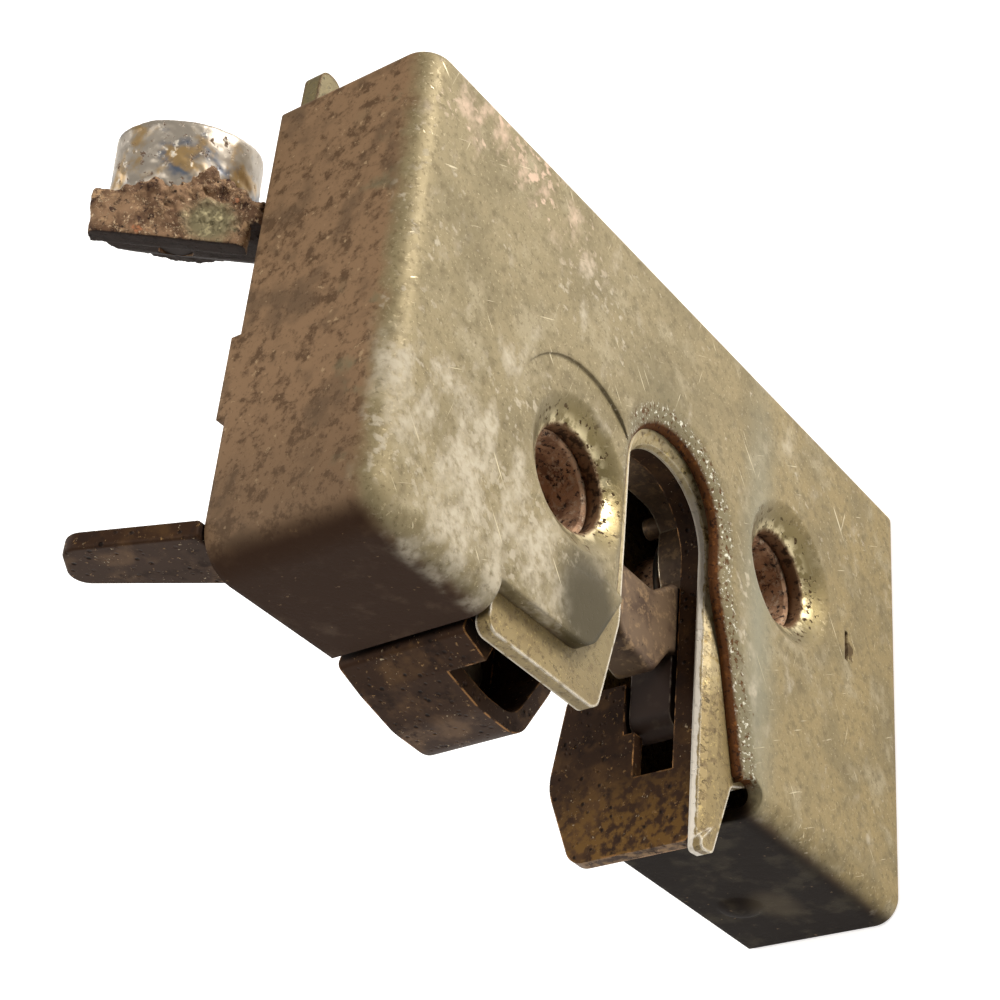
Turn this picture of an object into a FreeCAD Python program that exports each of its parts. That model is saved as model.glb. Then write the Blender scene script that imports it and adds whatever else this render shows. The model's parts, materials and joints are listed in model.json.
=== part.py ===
import FreeCAD, Part
import math
import os

from FreeCAD import Vector

# A rotary side-door latch, as it sits in the rear edge of a right-hand front door. All lengths in millimetres.
# Row frame: +Z up, +X outboard, +Y into the door (away from the striker). The origin is on the face plane at the
# centre of the mouth's rounded end.
#
# Features are placed from three datum faces, as on a press drawing:
#   down    from the case's top end        (-Z)
#   across  from the case's inboard wall   (+X)
#   depth   from the face plane            (+Y)

# ---- driving dimensions -------------------------------------------------------------------------------------
CASE_LENGTH = 90.0
CASE_WIDTH = 51.0
CASE_DEPTH = 18.0
SHEET = 1.5                # case sheet
FULL_BEND = 2.9            # outside radius of the face's bends on the upper and inboard sides
TIGHT_BEND = 0.9           # and on the other two
CORNER_R = 4.0             # drawn corner between the upper and inboard walls
BACK = 2.0                 # back plate, inset between the case's walls
REAR = CASE_DEPTH          # depth of the back plate's outer face
PLATE_FRONT = REAR - BACK
FOOT_SPAN = (PLATE_FRONT - 1.6, PLATE_FRONT - 0.05)  # depths of the feet riveted to the back plate

MOUTH_DOWN = 45.0          # mouth centre line
MOUTH_ACROSS = 24.0        # centre of its rounded end
MOUTH_TOP_EDGE = 37.3      # the mouth's clear sides and closed end
MOUTH_LOW_EDGE = 52.6
MOUTH_CLOSED_END = 32.8

UPPER_SCREW = (28.0, 20.0)  # (down, across) of the two fixing screws
LOWER_SCREW = (66.0, 30.0)  # the fork turns on this one's bush
SCREW_THREAD_R = 3.4        # M8 core
BUSH_R = 6.0
BUSH_ENTRY_R = 4.7
BUSH_ENTRY_DEPTH = 6.0
BUSH_FRONT = 3.3
DIMPLE_R = 8.2              # countersink pressed into the face
DIMPLE_HOLE_R = 5.2
DIMPLE_DEPTH = 1.8

RIVET_R = 1.4
RIVETS = [(22.4, 6.6), (31.6, 5.2), (57.0, 5.6), (9.2, 11.0), (15.0, 11.0)]
STRAP_RIVETS = [(57.5, 29.4), (57.5, 46.2)]
SPRING_POST = (78.3, 36.2)
SPRING_POST_R = 1.3
SPRING_HOLE = (31.0, 48.2)  # where the outside lever's spring hooks in
SPRING_HOLE_R = 0.75

RUNNING = 0.06              # radial clearance of a turning fit
FORK_FRONT, FORK_BACK = 5.6, 9.6
TOOTH_R = 14.9
TOOTH_ANGLE = -11.0         # leading face of the catch tooth, from the 'down' direction towards 'across'

PAWL_AXIS = (82.0, 43.5)
PAWL_TURNS = 22.5
PAWL_PIN_R = 2.0
STUD_ARM = 5.7              # pawl axis to pawl stud
STUD_R = 1.6
TOE = (79.7, 30.0)          # corner of the pawl's catch face

LEVER_AXIS = (22.0, 46.0)   # outside release lever
LEVER_ARM = 8.0             # to the drive pin
LEVER_TURNS = 16.0
LEVER_SHEET = 2.2
LEVER_FRONT = REAR + 0.3
DRIVE_PIN_R = 1.8
SHELF_ROOT = (9.5, LEVER_FRONT)  # (down, depth) where the shelf leaves the lever
SHELF_SLOPE = 39.0          # the shelf's run, above the 'depth' direction
SHELF_TILT = -14.0          # it leans this much about its run
TILT_ACROSS = 41.0
SHELF_LOW = 39.5            # 'across' of the shelf's inboard side
SHELF_HIGH = SHELF_LOW + LEVER_SHEET
SHELF_EDGE = 6.5            # from the run's line to the outer face of the turned-down flange
SHELF_LOW_EDGE = -4.2
SHELF_END = 22.0
FLANGE = 2.4                # its thickness
FLANGE_START = 7.2
FLANGE_LOW = SHELF_LOW - 2.2
PAD_ON_SHELF = (14.8, -1.4)  # along the run, and up from it
PAD_R = 7.2
PAD_HIGH = SHELF_HIGH + 8.6
PAD_RIVET_R = 1.6

INSIDE_AXIS = (78.0, 22.0)
INSIDE_TURNS = 7.9
INSIDE_SHEET = 2.0
ROD_EYE = (76.0, 8.5)
ROD_EYE_R = 2.1

LINK_ACROSS = LEVER_AXIS[1] - LEVER_ARM
LINK_FRONT = LEVER_FRONT + LEVER_SHEET + 0.3
LINK_SHEET = 1.6
STRAP_SHEET = 1.25

LOCK_AXIS = (12.0, 9.0)     # (down, depth) of the lock lever's pin
LOCK_LOW, LOCK_HIGH = 2.5, 4.3
LOCK_PIN_R = 1.9

os.makedirs("parts", exist_ok=True)


# ---- placing and shaping helpers ----------------------------------------------------------------------------
def at(down, across, depth):
    return Vector(across - MOUTH_ACROSS, depth, CASE_LENGTH / 2 - down)


INWARDS = Vector(0, 1, 0)    # growing depth
OUTBOARD = Vector(1, 0, 0)   # growing across
DOWNWARDS = Vector(0, 0, -1)


def outline(corners, place):
    """Closed wire through (u, v) or (u, v, radius) corners: straight runs joined by tangent arcs."""
    points = [Vector(c[0], c[1], 0) for c in corners]
    stretches = []
    for i, corner in enumerate(points):
        radius = corners[i][2] if len(corners[i]) > 2 else 0
        if not radius:
            stretches.append((corner, None, corner))
            continue
        back = (points[i - 1] - corner).normalize()
        ahead = (points[(i + 1) % len(points)] - corner).normalize()
        half_angle = back.getAngle(ahead) / 2
        setback = radius / math.tan(half_angle)
        middle = corner + (back + ahead).normalize() * (radius / math.sin(half_angle) - radius)
        stretches.append((corner + back * setback, middle, corner + ahead * setback))
    edges = []
    for i, (start, middle, end) in enumerate(stretches):
        if middle is not None:
            edges.append(Part.Arc(place(start), place(middle), place(end)).toShape())
        following = stretches[(i + 1) % len(stretches)][0]
        run = points[(i + 1) % len(points)] - points[i]
        if run.dot(following - end) < -1e-6:
            raise ValueError(f"radii too large between corners {corners[i]} and {corners[(i + 1) % len(corners)]}")
        if (following - end).Length > 1e-6:
            edges.append(Part.LineSegment(place(end), place(following)).toShape())
    return Part.Wire(edges)


def plate(corners, near, far):
    """Plate parallel to the face, from (down, across) corners."""
    wire = outline(corners, lambda p: at(p.x, p.y, near))
    return Part.Face(wire).extrude(INWARDS * (far - near))


def shelf(corners, low, high):
    """Plate square to 'across', from (down, depth) corners."""
    wire = outline(corners, lambda p: at(p.x, low, p.y))
    return Part.Face(wire).extrude(OUTBOARD * (high - low))


def wall(corners, top, bottom):
    """Plate square to 'down', from (depth, across) corners."""
    wire = outline(corners, lambda p: at(top, p.y, p.x))
    return Part.Face(wire).extrude(DOWNWARDS * (bottom - top))


def block(down, across, depth):
    """Box between two values of each datum distance."""
    corner = at(down[1], across[0], depth[0])
    return Part.makeBox(across[1] - across[0], depth[1] - depth[0], down[1] - down[0], corner)


def bar(centre, radius, near, far):
    """Round bar along depth at a (down, across) centre."""
    return Part.makeCylinder(radius, far - near, at(centre[0], centre[1], near), INWARDS)


def cross_bar(centre, radius, low, high):
    """Round bar along across at a (down, depth) centre."""
    return Part.makeCylinder(radius, high - low, at(centre[0], low, centre[1]), OUTBOARD)


def cone(centre, near_radius, far_radius, near, far):
    return Part.makeCone(near_radius, far_radius, far - near, at(centre[0], centre[1], near), INWARDS)


def turned(centre, steps):
    """Stepped round piece along depth: (radius, near, far) for each step."""
    return fused([bar(centre, radius, near, far) for radius, near, far in steps])


def fused(shapes):
    return shapes[0].multiFuse(shapes[1:]).removeSplitter() if len(shapes) > 1 else shapes[0]


def soften(shape, radius, wanted):
    """Rounds the edges that wanted() picks."""
    return shape.makeFillet(radius, [edge for edge in shape.Edges if wanted(edge)])


def flat_at_depth(edge, depth, slack=1e-4):
    box = edge.BoundBox
    return abs(box.YMin - depth) < slack and abs(box.YMax - depth) < slack


def around(centre, radius, angle):
    """(down, across) of a point at radius and angle about a (down, across) centre."""
    turn = math.radians(angle)
    return centre[0] + radius * math.cos(turn), centre[1] + radius * math.sin(turn)


def coil(centre, radius, wire_r, near, turns):
    """Close-wound spring body along depth: one ring per turn, a hair thicker than its pitch."""
    rings = [Part.makeTorus(radius, wire_r * 1.03, at(centre[0], centre[1], near + wire_r * (1 + 2 * i)), INWARDS)
             for i in range(turns)]
    sleeve = bar(centre, radius + wire_r / 2, near + wire_r, near + wire_r * (2 * turns - 1))
    return fused(rings + [sleeve.cut(bar(centre, radius - wire_r / 2, near, near + 2 * wire_r * turns))])


def leg(start, end, wire_r):
    """Straight spring wire between two (down, across, depth) points, with a round end."""
    first, last = at(*start), at(*end)
    rod = Part.makeCylinder(wire_r, (last - first).Length, first, last - first)
    return rod.fuse(Part.makeSphere(wire_r, last))


def save(name, shape):
    shape = shape.removeSplitter()
    if not shape.isValid():
        print("NOT VALID:", name)
    shape.exportStep(f"parts/{name}.step")


# ---- case ---------------------------------------------------------------------------------------------------
def mouth_in_face():
    """Opening cut in the case's face, from the inboard edge round the closed end."""
    return plate([(21.6, -2), (21.6, 3, 0.8), (31, 3, 3), (35.4, 10.4, 4), (36.2, 34, 7.8), (52.0, 34, 7.8),
                  (52.0, 22, 12), (54.6, 15, 12), (57.9, 1.6), (57.9, -2)], -1, 6)


def crimp_tabs():
    """(down span, across span, direction the tab folds) of the tabs that hold the back plate."""
    return [(None, (15, 24), "down"), (None, (14, 24), "up"), ((36, 46), None, "in"), ((64, 74), None, "in")]


def crimp_tab(down, across, fold):
    """Upright part of one tab, in line with its wall, and the part folded over the back plate."""
    reach, near, far = 2.9, REAR + 0.05, REAR + 1.1
    if fold == "in":
        edge = CASE_WIDTH
        upright = block(down, (edge - SHEET, edge), (CASE_DEPTH - 1, far))
        return fused([upright, block(down, (edge - reach, edge), (near, far))])
    edge, out = (0, 1) if fold == "down" else (CASE_LENGTH, -1)
    upright = block(sorted((edge, edge + out * SHEET)), across, (CASE_DEPTH - 1, far))
    return fused([upright, block(sorted((edge, edge + out * reach)), across, (near, far))])


def case_outline(inset):
    """Corners of the case's outline, or of one inside it. Only the upper inboard corner is drawn round."""
    end, side = CASE_LENGTH - inset, CASE_WIDTH - inset
    return [(inset, inset, CORNER_R - inset), (end, inset), (end, side), (inset, side)]


def is_full_bend(edge, inset):
    """True for the outline's upper and inboard edges and the round corner between them."""
    box = edge.BoundBox
    upper = box.ZMax > CASE_LENGTH / 2 - inset - 1e-4 and box.ZLength < 5
    inboard = box.XMin < inset - MOUTH_ACROSS + 1e-4 and box.XLength < 5
    return upper or inboard


def is_tight_bend(edge):
    """True for the face's other two edges and the straight corners of the wall they belong to."""
    box = edge.BoundBox
    on_face = flat_at_depth(edge, 0) and not is_full_bend(edge, 0)
    lower_corner = box.YLength > CASE_DEPTH / 2 and box.XLength < 1e-3 and box.ZMax < 1e-4 - CASE_LENGTH / 2
    return on_face or lower_corner


def outer_case():
    body = plate(case_outline(0), 0, CASE_DEPTH)
    body = soften(body, FULL_BEND, lambda edge: flat_at_depth(edge, 0) and is_full_bend(edge, 0))
    body = soften(body, TIGHT_BEND, is_tight_bend)
    cavity = plate(case_outline(SHEET), SHEET, CASE_DEPTH + 1)
    body = body.cut(soften(cavity, FULL_BEND - SHEET,
                           lambda edge: flat_at_depth(edge, SHEET) and is_full_bend(edge, SHEET)))
    for centre in (UPPER_SCREW, LOWER_SCREW):
        body = body.fuse(cone(centre, DIMPLE_R, DIMPLE_HOLE_R, 1.4, 1.4 + DIMPLE_DEPTH))
        body = body.cut(cone(centre, DIMPLE_R, DIMPLE_HOLE_R, 0, DIMPLE_DEPTH))
        body = body.cut(bar(centre, DIMPLE_HOLE_R, -1, 5))
    body = body.cut(mouth_in_face())
    body = body.cut(face_roll())
    body = body.cut(block((17.5, 58), (-1, 2.9), (-1, CASE_DEPTH + 1)))
    body = body.cut(block((1.7, 5.9), (CASE_WIDTH - 3, CASE_WIDTH + 1), (PLATE_FRONT - 0.1, CASE_DEPTH + 1)))
    body = body.cut(bar((59.4, 1.3), 1.8, -1, 5))
    body = body.cut(screw_dish())
    nick = block((77.8, 78.5), (25.8, 29.4), (-1, 0.35))
    bump = Part.makeSphere(4.2, at(79.2, 3.4, 13.2))
    body = body.cut(nick).fuse(bump.common(block((70, 88), (-0.8, 1), (6, 18))))
    body = fused([body] + [crimp_tab(*tab) for tab in crimp_tabs()])
    return max(body.Solids, key=lambda solid: solid.Volume)


def funnel(corners_at, steps):
    """Tool that widens an opening towards the face: corners_at(grow) at each (grow, depth) step."""
    wires = [outline(corners_at(grow), lambda p, depth=depth: at(p.x, p.y, depth)) for grow, depth in steps]
    return fused([Part.makeLoft(list(pair), True, True) for pair in zip(wires, wires[1:])])


def face_roll():
    """Tool that turns the face in a little all round the mouth, deepest at its edge."""
    def corners_at(grow):
        return [(35.6 - grow, 9.5 + grow / 2), (36.2 - grow, 34 + grow, 7.8 + grow), (52 + grow, 34 + grow, 7.8 + grow),
                (52 + grow, 22, 12), (54.6 + grow, 15, 12), (57.9 + grow, 1.6), (57.9 + grow, -2), (44, -2), (44, 9.5)]
    return funnel(corners_at, [(2.9, -0.01), (1.4, 0.22), (0.4, 0.6), (0.0, 1.1)])


def screw_dish():
    """Shallow round step beside the upper screw, deepest on its outboard lower side."""
    dish = bar((27.5, 20.6), 10.8, -3, 0)
    dish.rotate(at(21.5, 11.0, 0), Vector(1, 0, 1), 0.9)
    return dish.cut(bar(UPPER_SCREW, DIMPLE_R, -4, 0.001))


def mouth_lip():
    """Thin plate behind the face with a funnelled edge; its lower leg ends in a tongue below the inboard wall."""
    near, far = SHEET + 0.05, SHEET + 1.55
    lip = plate([(18.3, -1.0, 1.2), (34.6, -1.0, 1.6), (MOUTH_TOP_EDGE, 9.5, 6),
                 (MOUTH_TOP_EDGE, MOUTH_CLOSED_END, 7.4), (MOUTH_LOW_EDGE, MOUTH_CLOSED_END, 7.4),
                 (MOUTH_LOW_EDGE, -6.6, 0.5), (54.6, -6.4, 0.8), (57.6, 1.8, 1), (60.5, 3, 1), (60.5, 40, 4),
                 (30, 40, 4), (30, 14, 2), (18.3, 10, 2)], near, far)
    lip = lip.cut(lip_funnel(near))
    for centre in (UPPER_SCREW, LOWER_SCREW):
        lip = lip.cut(bar(centre, DIMPLE_R + 0.1, 0, 5))
    return max(lip.Solids, key=lambda solid: solid.Volume)


def lip_funnel(near):
    def corners_at(grow):
        low, end, bend = MOUTH_LOW_EDGE + grow, MOUTH_CLOSED_END + grow, 7.4 + grow
        return [(MOUTH_TOP_EDGE, 14), (MOUTH_TOP_EDGE, end, 7.4), (low, end, bend), (low, -5.5 + grow),
                (MOUTH_LOW_EDGE - 2, -5.5 - grow), (44, 14)]
    return funnel(corners_at, [(2.4, near - 0.01), (1.1, near + 0.3), (0.3, near + 0.75), (0.0, near + 1.3)])


def guide_frame():
    """Strip round the mouth behind the lip, and the flap below the mouth with a window for the fork's jaw."""
    top, low = MOUTH_TOP_EDGE + 0.1, MOUTH_LOW_EDGE + 0.3
    strip = plate([(34.4, 4, 1), (top, 4, 1), (top, MOUTH_CLOSED_END + 0.2, 7.5),
                   (low, MOUTH_CLOSED_END + 0.2, 7.5), (low, 2), (58.6, 2, 1), (58.6, 40, 5), (34.4, 40, 5)],
                  3.1, 5.3)
    for centre in (UPPER_SCREW, LOWER_SCREW):
        strip = strip.cut(bar(centre, BUSH_R + 0.1, 0, 6))
    flap = wall([(3.1, -5.3, 0.8), (16.6, -5.3, 2), (19.9, 3.5, 6), (18.2, 13.2, 1), (3.1, 13.2)], low, low + SHEET)
    window = wall([(5.3, 2.6), (9.9, 2.6), (9.9, 7.5), (11.2, 7.5), (11.2, 14), (5.3, 14)], 50, 57)
    foot = plate([(low, 2.4), (60.0, 2.4, 1), (60.0, 8.5, 1), (low, 8.5)], *FOOT_SPAN)
    return fused([strip, flap.cut(window), foot])


def guide_ramp():
    """Sheet on the upper side of the mouth: a foot on the back plate, a lead-in curl and the mouth's upper wall."""
    curl = plate([(18.6, 1.3, 0.6), (22.5, -0.1, 3), (27.2, -1.3, 5), (31.4, -1.5, 3.2), (35.4, 4.6, 4),
                  (35.4, 12), (37.0, 12), (37.0, 4.1, 4.5), (32.4, -3.2, 3.4), (26.6, -3.0, 6), (21.7, -1.7, 4),
                  (18.2, -0.4, 0.6)], 8.3, CASE_DEPTH - 0.05)
    curl = curl.cut(block((15, 35.3), (1.4, 14), (FOOT_SPAN[1], CASE_DEPTH)))
    foot = plate([(19.6, 0, 1), (36.2, 0), (36.2, 12), (32.6, 12, 0.8), (32.6, 9.5, 1), (19.6, 9.5, 1)], *FOOT_SPAN)
    tab = plate([(18.6, 1.3, 0.6), (22.5, -0.1), (21.7, -1.7), (18.2, -0.4, 0.6)], 4.2, 8.5)
    return fused([curl, foot, tab])


def back_plate():
    base = plate(case_outline(SHEET + 0.06), PLATE_FRONT, REAR)
    ear = plate([(2.0, 48), (5.6, 48), (5.2, 57.6, 1.5), (2.2, 57.6, 1.4)], PLATE_FRONT, REAR)
    mouth = plate([(35.2, -5), (35.2, 33.6, 8), (54.5, 33.6, 8), (54.5, -5)], PLATE_FRONT - 1, REAR + 1)
    lock_slot = block((-1, 15.5), (-1, 4.9), (PLATE_FRONT - 1, REAR + 1))
    rise = PAWL_AXIS[1] - STUD_ARM
    stud_slot = plate([(79.9, rise - 2.2, 2.1), (79.9, rise + 2.7, 2.1), (86.4, rise + 2.7, 2.1),
                       (86.4, rise - 2.2, 2.1)], PLATE_FRONT - 1, REAR + 1)
    base = base.fuse(ear).cut(mouth).cut(lock_slot).cut(stud_slot)
    holes = [(UPPER_SCREW, BUSH_R - 1), (LOWER_SCREW, BUSH_R - 1), (PAWL_AXIS, PAWL_PIN_R), (LEVER_AXIS, 3.0),
             (INSIDE_AXIS, 2.5), (SPRING_POST, SPRING_POST_R), (SPRING_HOLE, SPRING_HOLE_R)]
    holes += [(centre, RIVET_R) for centre in RIVETS + STRAP_RIVETS]
    for centre, radius in holes:
        base = base.cut(bar(centre, radius, PLATE_FRONT - 1, REAR + 1))
    return base


def bush(centre):
    """Threaded bush, shouldered against the back plate and peened over behind it."""
    body = turned(centre, [(BUSH_R, BUSH_FRONT, PLATE_FRONT), (BUSH_R - 1, PLATE_FRONT, REAR + 0.1),
                           (BUSH_R - 0.4, REAR, REAR + 0.6)])
    body = body.cut(bar(centre, SCREW_THREAD_R, 0, REAR + 2))
    return body.cut(bar(centre, BUSH_ENTRY_R, 0, BUSH_FRONT + BUSH_ENTRY_DEPTH))


def plate_rivets():
    """Rivets of the inner feet, then the strap's two, each with a head inside and one behind."""
    inner, strap_back = FOOT_SPAN[0], REAR + STRAP_SHEET
    plain = [turned(c, [(2.3, inner - 0.7, inner), (RIVET_R, inner - 0.1, REAR + 0.1), (2.4, REAR, REAR + 0.8)])
             for c in RIVETS]
    strap = [turned(c, [(2.3, PLATE_FRONT - 0.8, PLATE_FRONT), (RIVET_R, PLATE_FRONT - 0.5, strap_back + 0.2),
                        (2.4, strap_back, strap_back + 0.85)]) for c in STRAP_RIVETS]
    return Part.makeCompound(plain + strap)


def spring_post():
    return turned(SPRING_POST, [(SPRING_POST_R, 9.9, REAR)])


# ---- fork and pawl ------------------------------------------------------------------------------------------
def sector(centre, radius, low_angle, high_angle, near, far):
    """Slice of a disc between two angles, each under 90 degrees apart."""
    middle = (low_angle + high_angle) / 2
    wedge = [centre] + [around(centre, 2 * radius, angle) for angle in (low_angle, middle, high_angle)]
    return bar(centre, radius, near, far).common(plate(wedge, near, far))


def fork():
    """Claw with two jaws; the tooth behind it is what the pawl holds."""
    jaws = plate([(43.9, 12.6, 1.5), (49.4, 11.3, 1.6), (52.2, 15.0, 1.2), (56.5, 16.2, 3), (66, 20), (72, 30),
                  (66, 41), (57, 41.0, 6), (46, 39.6, 6), (38.8, 36.2, 1.6), (40.0, 33.8, 1.2), (55.8, 33.8, 4),
                  (55.8, 23.3, 2.2), (52.7, 23.3, 1.0), (48.9, 20.5, 1.5), (39.5, 20.6, 1.5)],
                 FORK_FRONT, FORK_BACK)
    jaws = soften(jaws, 0.6, lambda edge: flat_at_depth(edge, FORK_FRONT) and is_jaw_edge(edge))
    hub = bar(LOWER_SCREW, 11.0, FORK_FRONT, FORK_BACK)
    catch = sector(LOWER_SCREW, TOOTH_R, TOOTH_ANGLE - 64, TOOTH_ANGLE, FORK_FRONT, FORK_BACK)
    second_notch = sector(LOWER_SCREW, TOOTH_R + 2, TOOTH_ANGLE - 24, TOOTH_ANGLE - 14, FORK_FRONT, FORK_BACK)
    catch = catch.cut(second_notch.cut(bar(LOWER_SCREW, 12.8, FORK_FRONT, FORK_BACK)))
    body = fused([jaws, hub, catch, bar(around(LOWER_SCREW, 9.7, 152), 1.2, FORK_BACK - 0.5, 12.6)])
    return body.cut(bar(LOWER_SCREW, BUSH_R + RUNNING, 0, 14))


def is_jaw_edge(edge):
    return CASE_LENGTH / 2 - edge.BoundBox.Center.z < 60


def fork_buffer(claw):
    """Plastic nose moulded under the fork's lower jaw."""
    nose = plate([(53.2, 8.2, 1.5), (56.4, 7.4, 2), (59.5, 12, 2), (60, 17), (53.2, 17)], 6.1, 10.8)
    return nose.cut(claw).cut(bar(LOWER_SCREW, 13.2, 5, 12))


def fork_washer():
    return bar(LOWER_SCREW, 7.3, 3.6, FORK_FRONT - 0.1).cut(bar(LOWER_SCREW, BUSH_R, 0, 9))


def fork_spring():
    wire = 0.6
    near = FORK_BACK + 0.4
    first, last = near + wire, near + 3 * wire
    start = around(LOWER_SCREW, 7.3, 98)
    end = (start[0] - 6.4, start[1] - 1.1)
    fixed_start = around(LOWER_SCREW, 7.3, -20)
    fixed_end = (fixed_start[0] + 3.3, fixed_start[1] + 9.4)
    return fused([coil(LOWER_SCREW, 7.4, wire, near, 2), leg((*start, last), (*end, last), wire),
                  leg((*fixed_start, first), (*fixed_end, first), wire)])


def pawl_parts():
    """(pawl, its stud, the ring on the stud)"""
    stud_centre = (PAWL_AXIS[0], PAWL_AXIS[1] - STUD_ARM)
    arm = plate([(TOE[0], TOE[1], 0.3), (82.9, 29.8, 1), (84.9, 36, 4), (86.7, 43.5), (77.4, 43.5), (80.9, 36.0, 3),
                 (80.9, 32.8, 1), (TOE[0], 31.9, 0.4)], FORK_FRONT, FORK_BACK)
    pawl = fused([arm, bar(PAWL_AXIS, 4.8, FORK_FRONT, FORK_BACK)])
    pawl = pawl.cut(bar(PAWL_AXIS, PAWL_PIN_R + RUNNING, 0, 14)).cut(bar(stud_centre, STUD_R, 0, 14))
    link_back = LINK_FRONT + LINK_SHEET
    stud = turned(stud_centre, [(STUD_R, FORK_FRONT, link_back + 1.4)])
    ring = bar(stud_centre, 3.1, link_back + 0.2, link_back + 0.9).cut(bar(stud_centre, STUD_R, 0, 40))
    return pawl, stud, ring


def pawl_pin():
    return turned(PAWL_AXIS, [(3.2, 4.4, FORK_FRONT - 0.1), (PAWL_PIN_R, 4.4, REAR + 0.1),
                              (3.0, 13.4, PLATE_FRONT), (2.8, REAR, REAR + 0.8)])


def pawl_spring():
    wire = 0.45
    near = FORK_BACK + 0.5
    down, across = PAWL_AXIS
    first, last = near + wire, near + 3 * wire
    return fused([coil(PAWL_AXIS, 3.2, wire, near, 2),
                  leg((down + 3.2, across, last), (down + 2.35, across - 6.8, last), wire),
                  leg((down - 3.2, across, first), (down - 3.0, across + 5.3, first), wire)])


# ---- release levers and link --------------------------------------------------------------------------------
def outside_lever():
    """Plate on the back with an arm to the link; its top end is bent square into the shelf that carries the pad."""
    body = plate([(5.0, SHELF_LOW), (14.0, SHELF_LOW), (18.3, 38.9, 0.6), (18.3, 34.2, 3.4), (25.8, 34.2, 3.6),
                  (27.0, 46, 4), (24.5, 50.8, 3), (17, 50.8, 4), (11, 47.4, 5), (5.0, 46.6, 2)],
                 LEVER_FRONT, LEVER_FRONT + LEVER_SHEET)
    carrier = tilted(lever_shelf()).cut(block((-30, 40), (20, 70), (0, LEVER_FRONT)))
    body = fused([body, carrier])
    drive = (LEVER_AXIS[0], LEVER_AXIS[1] - LEVER_ARM)
    body = body.cut(bar(LEVER_AXIS, 3.0 + RUNNING, 0, 40)).cut(bar(drive, DRIVE_PIN_R, 0, 40))
    return body.cut(tilted(cross_bar(PAD_CENTRE, PAD_RIVET_R, 30, 60)))


def on_shelf(run, rise, *bend):
    """(down, depth) of a point along the shelf's run and up from it, before the tilt."""
    slope = math.radians(SHELF_SLOPE)
    down = SHELF_ROOT[0] - run * math.sin(slope) - rise * math.cos(slope)
    return (down, SHELF_ROOT[1] + run * math.cos(slope) - rise * math.sin(slope), *bend)


PAD_CENTRE = on_shelf(*PAD_ON_SHELF)


def tilted(shape):
    """The shelf, or what it carries, leaned about the shelf's run."""
    root, slope = at(SHELF_ROOT[0], TILT_ACROSS, SHELF_ROOT[1]), math.radians(SHELF_SLOPE)
    leaned = shape.copy()
    leaned.rotate(root, Vector(0, math.cos(slope), math.sin(slope)), SHELF_TILT)
    return leaned


def lever_shelf():
    """Web under the pad and the flange along its upper edge, before the tilt."""
    web = shelf([(5.0, LEVER_FRONT), (13.5, LEVER_FRONT), on_shelf(9, SHELF_LOW_EDGE),
                 on_shelf(SHELF_END - 3, SHELF_LOW_EDGE, 2), on_shelf(SHELF_END, 0, 2),
                 on_shelf(SHELF_END, SHELF_EDGE), on_shelf(FLANGE_START, SHELF_EDGE)], SHELF_LOW, SHELF_HIGH)
    inner = SHELF_EDGE - FLANGE
    flange = shelf([on_shelf(FLANGE_START, inner), on_shelf(SHELF_END, inner), on_shelf(SHELF_END, SHELF_EDGE, 1),
                    on_shelf(FLANGE_START, SHELF_EDGE, 1)], FLANGE_LOW, SHELF_HIGH)
    return fused([web, flange])


def contact_pad():
    pad = cross_bar(PAD_CENTRE, PAD_R, SHELF_HIGH, PAD_HIGH)
    pad = soften(pad, 0.7, lambda edge: edge.BoundBox.XLength < 1e-3)
    pad = pad.cut(cross_bar(PAD_CENTRE, PAD_RIVET_R, SHELF_HIGH - 1, PAD_HIGH + 1))
    return tilted(pad.cut(cross_bar(PAD_CENTRE, 3.4, PAD_HIGH - 1.2, PAD_HIGH + 1)))


def pad_rivet():
    return tilted(fused([cross_bar(PAD_CENTRE, PAD_RIVET_R, SHELF_LOW - 0.4, PAD_HIGH - 0.5),
                         cross_bar(PAD_CENTRE, 2.3, SHELF_LOW - 0.5, SHELF_LOW),
                         cross_bar(PAD_CENTRE, 3.2, PAD_HIGH - 1.2, PAD_HIGH - 0.4)]))


def drive_pin():
    drive = (LEVER_AXIS[0], LEVER_AXIS[1] - LEVER_ARM)
    link_back = LINK_FRONT + LINK_SHEET
    return turned(drive, [(DRIVE_PIN_R, LEVER_FRONT, link_back + 0.3), (3.0, link_back + 0.2, link_back + 1.2)])


def outside_lever_pivot():
    head = LEVER_FRONT + LEVER_SHEET + 2.8
    inner = PLATE_FRONT - 1.1
    return turned(LEVER_AXIS, [(3.4, inner, PLATE_FRONT), (3.0, inner, head + 0.1), (5.0, head, head + 1.1)])


def outside_lever_spring():
    wire = 0.55
    near = LEVER_FRONT + LEVER_SHEET + 0.2
    down, across = LEVER_AXIS
    first, last = near + wire, near + 3 * wire
    moving = (down - 5.6, across - 7.5)
    return fused([coil(LEVER_AXIS, 3.9, wire, near, 2),
                  leg((down - 3.9, across, first), (*moving, first), wire),
                  leg((*moving, first), (*moving, LEVER_FRONT + 0.6), wire),
                  leg((down, across + 3.9, last), (*SPRING_HOLE, last), wire),
                  leg((*SPRING_HOLE, last), (*SPRING_HOLE, REAR - 1), wire)])


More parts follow.
